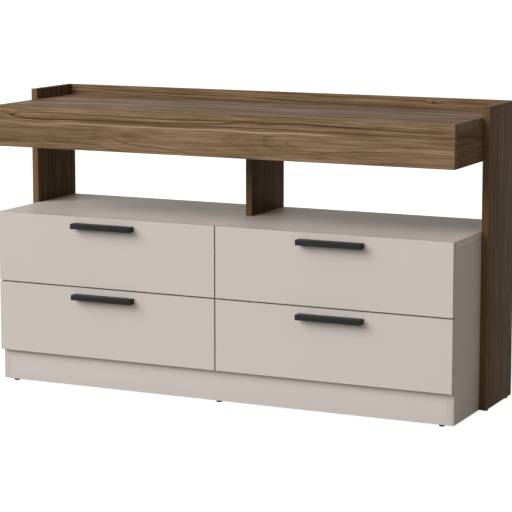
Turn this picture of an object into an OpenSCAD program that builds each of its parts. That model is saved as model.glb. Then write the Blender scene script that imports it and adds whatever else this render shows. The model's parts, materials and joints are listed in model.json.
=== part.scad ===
// Low chest of drawers: a matte cream carcass with two columns of two drawers, and a walnut shelf
// that two outer uprights and a middle support carry above it, with open bays between.
// X runs to the right, Y to the back and Z up. The origin is on the floor, under the middle.

/* [Carcass] */
// Width of the carcass and of the shelf, between the two outer uprights
carcass_w = 1304; // [1150:1:1500]
// Depth from the drawer faces to the back edges
depth = 412; // [405:1:480]
// Thickness of the carcass, upright and shelf boards
board_t = 18; // [16:1:20]
// Height of the carcass, from the plinth's underside to the top surface
carcass_h = 463; // [440:1:540]
// Height of the front and rear plinth boards
plinth_h = 80; // [60:1:95]
// Distance of the rear plinth board from the back edges
rear_plinth_inset = 30; // [0:1:60]
// Thickness of the hardboard back panel
back_t = 3; // [2.5:0.1:5]
// Distance of the back panel from the back edges
back_inset = 12; // [8:1:16]
// Depth of the groove that holds the back panel
back_groove = 8; // [5:1:10]

/* [Shelf] */
// Clear height of the open bays under the shelf
bay_h = 178; // [120:1:260]
// Height of the shelf's front board
shelf_h = 111; // [80:1:150]
// Rise of the uprights and the rear board above the shelf's surface
upstand_h = 28; // [15:1:60]
// Depth of the uprights and the middle support
upright_depth = 206; // [150:1:280]

/* [Floor glides] */
// Height of a glide under the boards
glide_h = 5; // [3:0.5:8]
// Diameter of a glide
glide_d = 15; // [10:1:18]
// Diameter of a glide's nail
glide_nail_d = 2.4; // [1.6:0.1:3]
// Length of a glide's nail
glide_nail_len = 14; // [8:1:20]
// Distance of an upright's glides from its front and back edges
glide_end = 25; // [12:1:60]
// Distance of the front plinth's outer glides from its ends
plinth_glide_end = 16; // [12:1:60]

/* [Drawer fronts] */
// Thickness of a drawer front
front_t = 16; // [15:0.5:18]
// Gap between neighbouring drawer fronts, and from the lower ones down to the plinth
front_gap = 3; // [2:0.5:4]
// Gap between a closed drawer front and the carcass edges behind it
front_stop_gap = 1; // [0.5:0.1:2]

/* [Drawer boxes] */
// Distance from a front's upper edge down to the rim of its box
box_drop = 38.5; // [30:0.5:60]
// Gap between a closed drawer box and the back panel
box_rear_gap = 26; // [15:1:45]
// Thickness of a drawer box's sides and back
box_t = 16; // [12:0.5:18]
// Rise of the box's underside above the lower edge of its front
box_lift = 30; // [24:1:34]
// Thickness of the hardboard drawer bottom
bottom_t = 3; // [2.5:0.1:5]
// Rise of the drawer bottom above the box's underside
bottom_rise = 10; // [8:1:14]
// Depth of the groove that holds the drawer bottom
bottom_groove = 6; // [4:0.5:8]

/* [Runners] */
// Width of the space beside a drawer box, which the runner fills
runner_space = 12.7; // [12.2:0.1:13.4]
// Height of a runner
runner_h = 35; // [32:1:45]
// Distance from the end of a runner to the end of its drawer box
runner_end_gap = 2; // [0:0.5:10]
// Setback of a runner from the carcass edges
runner_setback = 2; // [1:0.5:4]
// Height of a runner's middle above the box's underside
runner_rise = 38; // [28:1:60]
// Thickness of the runner's sheet steel
steel_t = 1.2; // [1:0.1:1.4]
// Diameter of a bearing ball
ball_d = 4; // [3.5:0.1:4.4]
// Clearance between a ball and its races
ball_clear = 0.3; // [0.2:0.05:0.4]
// Room left at each end of a ball cage's own travel
cage_margin = 25; // [20:1:40]
// Distance between neighbouring balls of a row
ball_pitch = 20; // [12:1:30]
// Thickness of a ball cage's strip
cage_t = 0.8; // [0.6:0.1:1]
// Length of the members that stays engaged when a drawer is fully open
runner_overlap = 88; // [80:1:150]

/* [Handles] */
// Length of a handle
handle_len = 178; // [150:1:220]
// Height of a handle
handle_h = 14; // [12:0.5:20]
// How far a handle stands out from its drawer front
handle_reach = 25; // [20:0.5:35]
// Distance from the top of a drawer front down to the handle
handle_drop = 17; // [8:0.5:40]
// Length of the solid foot at each end of a handle
handle_foot = 18; // [12:1:24]
// Thickness of the grip's top and front walls
handle_wall = 3.5; // [2.5:0.1:5]
// Radius of the handle's front edges
handle_round = 1.2; // [0.5:0.1:2]

/* [Screws] */
// Shank diameter of a handle screw
handle_screw_d = 4; // [3:0.5:5]
// Head diameter of a handle screw
handle_head_d = 8; // [6:0.5:9]
// Head height of a handle screw
handle_head_h = 2.6; // [2:0.1:3.5]
// Depth that a handle screw reaches into the handle
handle_screw_grip = 8; // [5:0.5:12]
// Shank diameter of a runner screw
runner_screw_d = 3.5; // [3:0.1:4]
// Head diameter of a runner screw
runner_head_d = 6.6; // [6:0.1:7.4]
// Length of a runner screw
runner_screw_len = 9.5; // [8:0.1:9.6]
// Distance of the first runner screw from the runner's front end
runner_screw_first = 35; // [20:1:60]
// Distance between neighbouring runner screws
runner_screw_pitch = 128; // [96:32:128]
// Shank diameter of a frame screw
frame_screw_d = 4; // [3.5:0.1:4.5]
// Head diameter of a frame screw
frame_head_d = 8; // [7:0.1:9]
// Length of a frame screw, through a side board into an upright or a box back
frame_screw_len = 30; // [26:1:31]
// Distance of the frame screws from the ends of an upright's joint
frame_screw_end = 55; // [40:1:60]
// Distance of the upper frame screw in a box back from the box's rim
box_screw_end = 15; // [10:1:20]
// Distance between the two frame screws at an end of a box back
box_screw_pitch = 35; // [20:1:40]

/* [Cam fittings] */
// Diameter of a cam
cam_d = 15; // [12:0.5:16]
// Reach of a cam past the middle of its bolt
cam_reach = 4.5; // [4.2:0.1:4.8]
// Distance from a board's edge to the middle of its cams
cam_inset = 24; // [20:1:34]
// Diameter of a cam bolt's head and shank
cam_bolt_d = 6; // [5:0.1:6.2]
// Diameter of a cam bolt's neck, which the cam grips
cam_neck_d = 4; // [3:0.1:4.4]
// Thread diameter of a cam bolt
cam_thread_d = 5; // [4:0.5:6]
// Depth of a cam bolt's thread in the board that it holds
cam_thread_len = 11; // [8:0.5:13]
// Distance of the cams from the front and back ends of a joint
cam_end = 60; // [50:1:80]
// Distance of a drawer side's cams from its lower and upper edges
box_cam_end = 30; // [24:1:36]

/* [Fits] */
// Clearance round a panel in its groove
groove_clear = 0.2; // [0.1:0.05:0.3]
// Clearance at the bottom of a groove
groove_end_clear = 1; // [0.5:0.1:1.5]
// Radial clearance of a screw in its hole
screw_clear = 0.05; // [0.02:0.01:0.1]

/* [Hidden] */
$fn = 48;

// Colours
cream = "#c7beb8";
walnut = "#7d6248";
hardboard = "#d8d3cb";
black = "#26282a";
zinc = "#b4b7bb";
steel = "#8d9094";

// Heights, measured from the plinth's underside
floor_board_z = plinth_h;
bay_floor_z = plinth_h + board_t;
bay_ceiling_z = carcass_h - board_t;
shelf_z = carcass_h + bay_h;
shelf_top_z = shelf_z + shelf_h;
shelf_ceiling_z = shelf_top_z - board_t;
upright_top_z = shelf_top_z + upstand_h;

// Depths, measured from the drawer faces
carcass_y = front_t + front_stop_gap;
back_y = depth - back_inset - back_t;
upright_y = depth - upright_depth;
shelf_back_y = depth - board_t;
rear_plinth_y = depth - rear_plinth_inset - board_t;

// Widths, measured from the middle
carcass_x = carcass_w / 2;
bay_x = carcass_x - board_t;
bay_w = bay_x - board_t / 2;
bay_middle_x = board_t / 2 + bay_w / 2;

// Drawer fronts
fronts_z = plinth_h + front_gap;
front_w = carcass_x - front_gap / 2;
front_h = (carcass_h - fronts_z - front_gap) / 2;
front_middle_x = front_gap / 2 + front_w / 2;

// Drawer boxes
box_w = bay_w - 2 * runner_space;
box_inner_w = box_w - 2 * box_t;
box_h = front_h - box_lift - box_drop;
box_end_y = back_y - box_rear_gap;
bottom_top = bottom_rise + bottom_t;

// Runner section, with its middle at the height of 0 and the carcass wall at the left
runner_y = carcass_y + runner_setback;
runner_len = box_end_y - runner_end_gap - runner_y;
travel = runner_len - runner_overlap;
race_r = ball_d / 2 + ball_clear;
ball_u = runner_space / 2;
ball_v = runner_h / 2 - steel_t - race_r;
// Angle above the level of a ball's middle at which its race ends
race_open = 20;
// Height above a ball's middle of the flat that joins its race to the web
flat_rise = race_r / 2;
// Gap between the fixed member's web and the cage's strip
cage_gap = 0.4;
cage_u = steel_t + cage_gap;
cage_lip = ball_u + race_r + steel_t - cage_u;
cage_y = runner_y + travel / 2 + cage_margin;
cage_len = runner_len - travel / 2 - 2 * cage_margin;
ball_rows = floor((cage_len - ball_pitch) / ball_pitch) + 1;
runner_screws = [for (i = [0 : 2]) runner_screw_first + i * runner_screw_pitch];

// Frame screws, where they come out of a side board
frame_screw_rows = [upright_y + frame_screw_end, depth - frame_screw_end];
frame_screw_levels = [
    frame_screw_end, bay_ceiling_z / 2, bay_ceiling_z - frame_screw_end,
    (shelf_z + shelf_ceiling_z) / 2
];

// Cam fittings
cam_rows = [carcass_y + cam_end, depth - cam_end];
// The middle support's stand clear of the bolts that hold the carcass top from below
support_cam_rows = [upright_y + cam_end, depth - 1.5 * cam_end];
plinth_cam_x = bay_x / 3;
shelf_cam_x = carcass_x / 4;
fascia_cam_z = shelf_z + shelf_h / 3;
rear_board_cam_levels = [shelf_z + shelf_h / 3, shelf_top_z];
// Length of a cam bolt's head
cam_bolt_head = 2.5;
// Bore from a board's edge to its cam
cam_bore_d = cam_bolt_d + 2;
// Clearance of a bolt in its cam
cam_slack = 0.3;
// Width of the arms of a cam's cross recess, and height of its floor above the bolt
cam_cross = 1.6;
cam_cross_floor = 1;

// Handles
handle_centres = handle_len - handle_foot;
handle_screw_z = -handle_drop - handle_h / 2;

// How far a cut runs on past the face that it opens
cut_over = 1;

// Each drawer: its name, its side of the middle and its level
DRAWERS = [
    for (row = [["lower", 0], ["upper", 1]])
        for (column = [["left", -1], ["right", 1]])
            [str(row[0], "_", column[0]), column[1], row[1]]
];
CABINET_NODES = [
    "side_panel_left", "side_panel_right", "centre_partition", "carcass_top", "carcass_bottom",
    "front_plinth", "rear_plinth", "back_panel", "upright_left", "upright_right",
    "middle_support", "shelf_top", "shelf_fascia", "shelf_end_left", "shelf_end_right",
    "shelf_rear_board", "floor_glides", "fixed_runner_members", "cabinet_screws",
    "cam_fittings"
];
DRAWER_PARTS = [
    "front", "left_side", "right_side", "back", "bottom", "handle", "screws", "cam_fittings",
    "runner_members", "ball_cages"
];

function front_z(d) = fronts_z + d[2] * (front_h + front_gap);
function box_z(d) = front_z(d) + box_lift;
function sided(name, side) = str(name, side < 0 ? "_left" : "_right");

// Cam joints of the cabinet: the board that has the cam, the board that the bolt is screwed into,
// the point where the bolt crosses the joint, the bolt's direction and the way that the cam faces
up = [0, 0, 1];
backwards = [0, 1, 0];
CABINET_JOINTS = concat(
    [for (side = [-1, 1], y = cam_rows)
        [sided("side_panel", side), "carcass_top",
            [side * (carcass_x - board_t / 2), y, bay_ceiling_z], up, [-side, 0, 0]]],
    [for (side = [-1, 1], y = cam_rows)
        ["carcass_bottom", sided("side_panel", side),
            [side * bay_x, y, bay_floor_z - board_t / 2], [side, 0, 0], -up]],
    [for (y = cam_rows)
        ["centre_partition", "carcass_top", [0, y, bay_ceiling_z], up, [1, 0, 0]]],
    [for (y = cam_rows)
        ["centre_partition", "carcass_bottom", [0, y, bay_floor_z], -up, [1, 0, 0]]],
    [for (side = [-1, 1])
        ["front_plinth", sided("side_panel", side),
            [side * bay_x, carcass_y + board_t / 2, plinth_h / 2], [side, 0, 0], backwards]],
    [for (side = [-1, 1])
        ["rear_plinth", sided("side_panel", side),
            [side * bay_x, rear_plinth_y + board_t / 2, plinth_h / 2], [side, 0, 0], -backwards]],
    [for (side = [-1, 1])
        ["front_plinth", "carcass_bottom",
            [side * plinth_cam_x, carcass_y + board_t / 2, plinth_h], up, backwards]],
    [for (side = [-1, 1])
        ["rear_plinth", "carcass_bottom",
            [side * plinth_cam_x, rear_plinth_y + board_t / 2, plinth_h], up, -backwards]],
    [for (side = [-1, 1], y = cam_rows)
        [sided("shelf_end", side), "shelf_top",
            [side * (carcass_x - board_t / 2), y, shelf_ceiling_z], up, [-side, 0, 0]]],
    [for (side = [-1, 1])
        [sided("shelf_end", side), "shelf_fascia",
            [side * (carcass_x - board_t / 2), board_t, fascia_cam_z], -backwards, [-side, 0, 0]]],
    [for (x = [-3, -1, 1, 3])
        ["shelf_top", "shelf_fascia",
            [x * shelf_cam_x, board_t, shelf_top_z - board_t / 2], -backwards, -up]],
    [for (x = [-3, -1, 1, 3])
        ["shelf_top", "shelf_rear_board",
            [x * shelf_cam_x, shelf_back_y, shelf_top_z - board_t / 2], backwards, -up]],
    [for (side = [-1, 1], z = rear_board_cam_levels)
        ["shelf_rear_board", sided("upright", side),
            [side * carcass_x, depth - board_t / 2, z], [side, 0, 0], backwards]],
    [for (y = support_cam_rows)
        ["middle_support", "carcass_top", [0, y, carcass_h], -up, [-1, 0, 0]]],
    [for (y = support_cam_rows)
        ["middle_support", "shelf_top", [0, y, shelf_ceiling_z], up, [-1, 0, 0]]]
);

// The same for a drawer box, from the middle of its underside
BOX_JOINTS = [for (side = [-1, 1], z = [box_cam_end, box_h - box_cam_end])
    [sided("side", side), "front",
        [side * (box_inner_w + box_t) / 2, front_t, z], -backwards, [-side, 0, 0]]];

// From the cabinet's own measures, drawer faces at y = 0 and plinth underside at z = 0
module in_place() {
    translate([0, -(depth - handle_reach) / 2, glide_h]) children();
}

// In the middle of a drawer's bay, at the height of its box's underside
module in_bay(d) {
    in_place() translate([d[1] * bay_middle_x, 0, box_z(d)]) children();
}

// In the middle of a drawer front's upper edge
module on_front(d) {
    in_place() translate([d[1] * front_middle_x, 0, front_z(d) + front_h]) children();
}

// The same on both sides of the middle
module both_sides() {
    for (side = [-1, 1]) scale([side, 1, 1]) children();
}

module board(low, high) {
    translate(low) cube(high - low);
}

// A section drawn in X and Z, run along Y
module along_y(start, length) {
    translate([0, start + length, 0]) rotate([90, 0, 0]) linear_extrude(length) children();
}

// A section drawn in Y and Z, run along X about the middle
module along_x(length) {
    rotate([90, 0, 90]) linear_extrude(length, center = true) children();
}

// Carcass

// The space that the back panel and its clearance take, in the boards round it
module back_panel_groove() {
    board(
        [-bay_x - back_groove, back_y - groove_clear, bay_floor_z - back_groove],
        [bay_x + back_groove, back_y + back_t + groove_clear, bay_ceiling_z + back_groove]
    );
}

module side_panel(side) {
    color(cream) in_place() difference() {
        board(
            [side < 0 ? -carcass_x : bay_x, carcass_y, 0],
            [side < 0 ? -bay_x : carcass_x, depth, bay_ceiling_z]
        );
        back_panel_groove();
        for (d = DRAWERS) if (d[1] == side) fixed_screws(d, side, screw_clear);
        upright_screws(screw_clear);
        cabinet_bores(sided("side_panel", side));
    }
}

module centre_partition() {
    color(cream) in_place() difference() {
        board([-board_t / 2, carcass_y, bay_floor_z], [board_t / 2, back_y, bay_ceiling_z]);
        for (d = DRAWERS) fixed_screws(d, -d[1], screw_clear);
        cabinet_bores("centre_partition");
    }
}

module carcass_top() {
    color(cream) in_place() difference() {
        board([-carcass_x, carcass_y, bay_ceiling_z], [carcass_x, depth, carcass_h]);
        back_panel_groove();
        cabinet_bores("carcass_top");
    }
}

module carcass_bottom() {
    color(cream) in_place() difference() {
        board([-bay_x, carcass_y, floor_board_z], [bay_x, depth, bay_floor_z]);
        back_panel_groove();
        cabinet_bores("carcass_bottom");
    }
}

module front_plinth() {
    color(cream) in_place() difference() {
        board([-bay_x, carcass_y, 0], [bay_x, carcass_y + board_t, plinth_h]);
        glides(screw_clear);
        cabinet_bores("front_plinth");
    }
}

module rear_plinth() {
    color(cream) in_place() difference() {
        board([-bay_x, rear_plinth_y, 0], [bay_x, rear_plinth_y + board_t, plinth_h]);
        glides(screw_clear);
        cabinet_bores("rear_plinth");
    }
}

module back_panel() {
    reach = back_groove - groove_end_clear;
    color(hardboard) in_place() board(
        [-bay_x - reach, back_y, bay_floor_z - reach],
        [bay_x + reach, back_y + back_t, bay_ceiling_z + reach]
    );
}

// Walnut frame and shelf

module upright(side) {
    color(walnut) in_place() difference() {
        board(
            [side < 0 ? -carcass_x - board_t : carcass_x, upright_y, 0],
            [side < 0 ? -carcass_x : carcass_x + board_t, depth, upright_top_z]
        );
        glides(screw_clear);
        upright_screws(screw_clear);
        cabinet_bores(sided("upright", side));
    }
}

// Stands on the carcass, runs up inside the shelf and is notched round the rear board
module middle_support() {
    color(walnut) in_place() difference() {
        along_x(board_t) polygon([
            [upright_y, carcass_h],
            [depth, carcass_h],
            [depth, shelf_z],
            [shelf_back_y, shelf_z],
            [shelf_back_y, shelf_ceiling_z],
            [upright_y, shelf_ceiling_z]
        ]);
        cabinet_bores("middle_support");
    }
}

module shelf_top() {
    color(walnut) in_place() difference() {
        board([-carcass_x, board_t, shelf_ceiling_z], [carcass_x, shelf_back_y, shelf_top_z]);
        cabinet_bores("shelf_top");
    }
}

module shelf_fascia() {
    color(walnut) in_place() difference() {
        board([-carcass_x, 0, shelf_z], [carcass_x, board_t, shelf_top_z]);
        cabinet_bores("shelf_fascia");
    }
}

module shelf_end(side) {
    color(walnut) in_place() difference() {
        board(
            [side < 0 ? -carcass_x : bay_x, board_t, shelf_z],
            [side < 0 ? -bay_x : carcass_x, shelf_back_y, shelf_ceiling_z]
        );
        upright_screws(screw_clear);
        cabinet_bores(sided("shelf_end", side));
    }
}

module shelf_rear_board() {
    color(walnut) in_place() difference() {
        board([-carcass_x, shelf_back_y, shelf_z], [carcass_x, depth, upright_top_z]);
        cabinet_bores("shelf_rear_board");
    }
}

// Floor glides

// Middle of each glide: two under an upright on both sides, three and one under the plinths
function glide_spots() = concat(
    [
        for (side = [-1, 1]) for (y = [upright_y + glide_end, depth - glide_end])
            [side * (carcass_x + board_t / 2), y]
    ],
    [for (x = [-1, 0, 1]) [x * (bay_x - plinth_glide_end), carcass_y + board_t / 2]],
    [[0, rear_plinth_y + board_t / 2]]
);

// The glides, or with a clearance the holes that their nails fill
module glides(clear = 0) {
    chamfer = glide_h / 5;
    foot_r = glide_d / 2;
    nail_r = glide_nail_d / 2 + clear;
    point = nail_r;
    for (spot = glide_spots()) translate(spot) rotate_extrude() polygon([
        [0, -glide_h],
        [foot_r - chamfer, -glide_h],
        [foot_r, -glide_h + chamfer],
        [foot_r, 0],
        [nail_r, 0],
        [nail_r, glide_nail_len - point],
        [0, glide_nail_len + clear]
    ]);
}

module floor_glides() {
    color(black) in_place() glides();
}

// Drawers

module drawer_front(d) {
    color(cream) difference() {
        on_front(d) board([-front_w / 2, 0, -front_h], [front_w / 2, front_t, 0]);
        in_bay(d) bottom_panel(groove_clear, groove_end_clear);
        in_bay(d) bores(BOX_JOINTS, "front", box_t);
        handle_screw_set(d, screw_clear);
    }
}

module box_side(d, side) {
    color(cream) in_bay(d) difference() {
        board(
            [side < 0 ? -box_w / 2 : box_inner_w / 2, front_t, 0],
            [side < 0 ? -box_inner_w / 2 : box_w / 2, box_end_y, box_h]
        );
        bottom_panel(groove_clear, groove_end_clear);
        drawer_member_screws(side, screw_clear);
        box_back_screws(screw_clear);
        bores(BOX_JOINTS, sided("side", side), box_t);
    }
}

module box_back(d) {
    color(cream) in_bay(d) difference() {
        board(
            [-box_inner_w / 2, box_end_y - box_t, bottom_top],
            [box_inner_w / 2, box_end_y, box_h]
        );
        box_back_screws(screw_clear);
    }
}

// The drawer bottom, or with clearances the grooves that hold it
module bottom_panel(clear = 0, end_clear = 0) {
    reach = bottom_groove - groove_end_clear + end_clear;
    board(
        [-box_inner_w / 2 - reach, front_t - reach, bottom_rise - clear],
        [box_inner_w / 2 + reach, box_end_y + clear, bottom_top + clear]
    );
}

module box_bottom(d) {
    color(hardboard) in_bay(d) bottom_panel();
}

// Handles

// Upright section of the handle, its back on the drawer front and its front edges rounded
module handle_section() {
    for (z = [-handle_round, handle_round - handle_h])
        translate([handle_round - handle_reach, z]) circle(handle_round);
    translate([handle_round - handle_reach, -handle_h])
        square([handle_reach - handle_round, handle_h]);
    translate([-handle_reach, handle_round - handle_h])
        square([handle_round, handle_h - 2 * handle_round]);
}

// The finger recess's section, open at the back and below, with one round inner corner
module recess_section() {
    inner_round = handle_wall;
    front = handle_wall - handle_reach;
    translate([front + inner_round, -handle_wall - inner_round]) circle(inner_round);
    opening = -handle_h - cut_over;
    translate([front + inner_round, opening])
        square([handle_reach, -handle_wall - opening]);
    translate([front, opening])
        square([handle_reach, -handle_wall - inner_round - opening]);
}

module handle(d) {
    color(black) difference() {
        on_front(d) translate([0, 0, -handle_drop]) difference() {
            along_x(handle_len) handle_section();
            along_x(handle_len - 2 * handle_foot) recess_section();
        }
        handle_screw_set(d, screw_clear);
    }
}

// Screws

// A pan-head screw along -Y from the back of a drawer front into the handle, or its hole
module handle_screw(clear = 0) {
    translate([0, front_t, 0]) rotate([-90, 0, 0]) cylinder(h = handle_head_h, d = handle_head_d);
    translate([0, front_t, 0]) rotate([90, 0, 0])
        cylinder(h = front_t + handle_screw_grip + clear, d = handle_screw_d + 2 * clear);
}

module handle_screw_set(d, clear = 0) {
    on_front(d) for (side = [-1, 1])
        translate([side * handle_centres / 2, 0, handle_screw_z]) handle_screw(clear);
}

// A countersunk screw along -X, its flat head at x = 0, or its hole
module flat_screw(length, shank_d, head_d, clear = 0) {
    head_r = head_d / 2 + clear;
    shank_r = shank_d / 2 + clear;
    taper = head_d / 2 - shank_d / 2;
    rotate([0, -90, 0]) rotate_extrude() polygon([
        [0, 0],
        [head_r, 0],
        [shank_r, taper],
        [shank_r, length - shank_r],
        [0, length + clear]
    ]);
}

module runner_screw(clear) {
    flat_screw(runner_screw_len, runner_screw_d, runner_head_d, clear);
}

module frame_screw(clear) {
    flat_screw(frame_screw_len, frame_screw_d, frame_head_d, clear);
}

// Screws of one fixed runner member, on the given side of a drawer's bay
module fixed_screws(d, side, clear = 0) {
    translate([d[1] * bay_middle_x, runner_y, box_z(d) + runner_rise])
        scale([-side, 1, 1]) translate([steel_t - bay_w / 2, 0, 0])
            for (y = runner_screws) translate([0, y, 0]) runner_screw(clear);
}

// Screws of a drawer's own runner member on one side, driven into the box's side
module drawer_member_screws(side, clear = 0) {
    translate([0, runner_y, runner_rise]) scale([side, 1, 1])
        translate([box_w / 2 + steel_t, 0, 0])
            for (y = runner_screws) translate([0, y, 0]) runner_screw(clear);
}

// Screws through the carcass sides and the shelf ends into the uprights
module upright_screws(clear = 0) {
    both_sides() for (y = frame_screw_rows) for (z = frame_screw_levels)
        translate([bay_x, y, z]) scale([-1, 1, 1]) frame_screw(clear);
}

// Screws through a drawer box's sides into its back
module box_back_screws(clear = 0) {
    top = box_h - box_screw_end;
    both_sides() for (z = [top - box_screw_pitch, top])
        translate([box_w / 2, box_end_y - box_t / 2, z]) frame_screw(clear);
}

module screws(d) {
    color(zinc) {
        handle_screw_set(d);
        in_bay(d) for (side = [-1, 1]) drawer_member_screws(side);
        in_bay(d) box_back_screws();
    }
}

module cabinet_screws() {
    color(zinc) in_place() {
        for (d = DRAWERS) for (side = [-1, 1]) fixed_screws(d, side);
        upright_screws();
    }
}

// Cam fittings

// Turns the X axis to a bolt's direction and the Z axis to the way that its cam faces
module facing(bolt, face) {
    across = cross(face, bolt);
    multmatrix([
        [bolt[0], across[0], face[0], 0],
        [bolt[1], across[1], face[1], 0],
        [bolt[2], across[2], face[2], 0],
        [0, 0, 0, 1]
    ]) children();
}

// A round bar along X from one position to another
module bar(start, end, d) {
    translate([start, 0, 0]) rotate([0, 90, 0]) cylinder(h = end - start, d = d);
}

// Bolt along X: its head in the cam, its shank as far as the joint at x = 0, and its thread
module cam_bolt() {
    head = -cam_inset + cam_bolt_head / 2;
    bar(head - cam_bolt_head, head, cam_bolt_d);
    bar(head, -cam_inset + cam_d / 2, cam_neck_d);
    bar(-cam_inset + cam_d / 2, 0, cam_bolt_d);
    bar(0, cam_thread_len, cam_thread_d);
}

// Cam in a board of this thickness, with the hollow that grips its bolt and a cross recess
module cam(thickness) {
    face = thickness / 2;
    head = -cam_inset + cam_bolt_head / 2;
    arm = cam_d / 3;
    difference() {
        translate([-cam_inset, 0, -cam_reach]) cylinder(h = face + cam_reach, d = cam_d);
        bar(head - cam_bolt_head - cam_slack, head + cam_slack, cam_bolt_d + 2 * cam_slack);
        bar(head, 0, cam_neck_d + 2 * cam_slack);
        for (half = [[arm, cam_cross / 2], [cam_cross / 2, arm]]) board(
            [-cam_inset - half[0], -half[1], cam_bolt_d / 2 + cam_cross_floor],
            [-cam_inset + half[0], half[1], face + cut_over]
        );
    }
}

// All cams and bolts of a list of joints
module fittings(joints, thickness) {
    for (joint = joints) translate(joint[2]) facing(joint[3], joint[4]) {
        cam(thickness);
        cam_bolt();
    }
}

// The bores in the named board for its own cams and for the bolts that are screwed into it
module bores(joints, name, thickness) {
    for (joint = joints) translate(joint[2]) facing(joint[3], joint[4]) {
        if (joint[0] == name) {
            translate([-cam_inset, 0, -cam_reach - screw_clear])
                cylinder(h = thickness, d = cam_d + 2 * screw_clear);
            bar(-cam_inset, cut_over, cam_bore_d);
        }
        if (joint[1] == name)
            bar(-cut_over, cam_thread_len + screw_clear, cam_thread_d + 2 * screw_clear);
    }
}

module cabinet_bores(name) {
    bores(CABINET_JOINTS, name, board_t);
}

module cabinet_cam_fittings() {
    color(zinc) in_place() fittings(CABINET_JOINTS, board_t);
}

module drawer_cam_fittings(d) {
    color(zinc) in_bay(d) fittings(BOX_JOINTS, box_t);
}

// Ball-bearing runners

// Both halves of a section, above and below its middle
module above_and_below() {
    for (half = [-1, 1]) scale([1, half]) children();
}

// The rolled race over a ball, open towards the ball's lower half
module race() {
    far = 3 * (race_r + steel_t);
    difference() {
        intersection() {
            circle(race_r + steel_t);
            polygon([
                [0, 0],
                [far * cos(race_open), far * sin(race_open)],
                [0, far],
                [-far * cos(race_open), far * sin(race_open)]
            ]);
        }
        circle(race_r);
    }
}

// Fixed member: a web on the carcass wall, and races that roll in over the balls
module fixed_member_section() {
    flat_v = ball_v + flat_rise;
    translate([0, -flat_v - steel_t]) square([steel_t, 2 * (flat_v + steel_t)]);
    above_and_below() {
        translate([0, flat_v]) square([ball_u - race_r, steel_t]);
        translate([ball_u, ball_v]) race();
    }
}

// Moving member: a web on the drawer box, and races that roll out under the balls
module drawer_member_section() {
    flat_v = ball_v - flat_rise;
    translate([runner_space - steel_t, -flat_v]) square([steel_t, 2 * flat_v]);
    above_and_below() {
        translate([ball_u + race_r, flat_v - steel_t])
            square([runner_space - ball_u - race_r, steel_t]);
        translate([ball_u, ball_v]) scale([1, -1]) race();
    }
}

// Ball cage: a bent strip behind the moving member, with a lip through each row of balls
module cage_section() {
    translate([cage_u, -ball_v]) square([cage_t, 2 * ball_v]);
    above_and_below() translate([cage_u, ball_v - cage_t / 2]) square([cage_lip, cage_t]);
}

module ball_cage() {
    along_y(cage_y, cage_len) cage_section();
    for (v = [-ball_v, ball_v]) for (i = [0 : ball_rows - 1])
        translate([ball_u, cage_y + ball_pitch / 2 + i * ball_pitch, v]) sphere(d = ball_d);
}

// One runner part on both sides of a bay, from the carcass wall towards the drawer box
module beside_box() {
    translate([0, 0, runner_rise]) both_sides() translate([bay_w / 2, 0, 0])
        scale([-1, 1, 1]) children();
}

module fixed_runner_members() {
    color(steel) for (d = DRAWERS) difference() {
        in_bay(d) beside_box() along_y(runner_y, runner_len) fixed_member_section();
        in_place() for (side = [-1, 1]) fixed_screws(d, side, screw_clear);
    }
}

module drawer_runner_members(d) {
    color(steel) in_bay(d) difference() {
        beside_box() along_y(runner_y, runner_len) drawer_member_section();
        for (side = [-1, 1]) drawer_member_screws(side, screw_clear);
    }
}

module ball_cages(d) {
    color(zinc) in_bay(d) beside_box() ball_cage();
}

side_panel(-1);  // side_panel_left
side_panel(1);  // side_panel_right
centre_partition();
carcass_top();
carcass_bottom();
front_plinth();
rear_plinth();
back_panel();
upright(-1);  // upright_left
upright(1);  // upright_right
middle_support();
shelf_top();
shelf_fascia();
shelf_end(-1);  // shelf_end_left
shelf_end(1);  // shelf_end_right
shelf_rear_board();
floor_glides();
fixed_runner_members();
cabinet_screws();
cabinet_cam_fittings();  // cam_fittings
for (d = DRAWERS) {
    drawer_front(d);
    box_side(d, -1);
    box_side(d, 1);
    box_back(d);
    box_bottom(d);
    handle(d);
    screws(d);
    drawer_cam_fittings(d);
    drawer_runner_members(d);
    ball_cages(d);
}
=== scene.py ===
"""Looks of a low chest of drawers with a raised walnut shelf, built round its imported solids."""
import json
from math import cos, radians, sin

import bmesh
import bpy
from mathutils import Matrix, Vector

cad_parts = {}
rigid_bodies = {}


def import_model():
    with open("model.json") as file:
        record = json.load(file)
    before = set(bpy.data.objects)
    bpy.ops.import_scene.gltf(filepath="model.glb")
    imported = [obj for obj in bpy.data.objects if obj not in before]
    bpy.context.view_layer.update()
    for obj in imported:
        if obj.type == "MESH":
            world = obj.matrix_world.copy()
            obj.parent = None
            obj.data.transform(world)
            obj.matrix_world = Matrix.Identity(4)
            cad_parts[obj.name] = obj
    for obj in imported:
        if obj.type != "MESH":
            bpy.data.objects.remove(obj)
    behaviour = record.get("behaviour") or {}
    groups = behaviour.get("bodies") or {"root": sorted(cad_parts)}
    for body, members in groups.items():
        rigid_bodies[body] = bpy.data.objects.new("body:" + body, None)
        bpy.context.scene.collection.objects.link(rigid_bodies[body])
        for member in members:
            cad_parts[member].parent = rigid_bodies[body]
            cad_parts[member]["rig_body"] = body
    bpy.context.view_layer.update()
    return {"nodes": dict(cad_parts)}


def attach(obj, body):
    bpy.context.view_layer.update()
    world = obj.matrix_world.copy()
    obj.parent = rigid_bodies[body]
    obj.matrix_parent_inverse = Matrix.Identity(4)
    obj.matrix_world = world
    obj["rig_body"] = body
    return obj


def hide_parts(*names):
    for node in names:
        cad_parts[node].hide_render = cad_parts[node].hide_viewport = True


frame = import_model()

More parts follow.
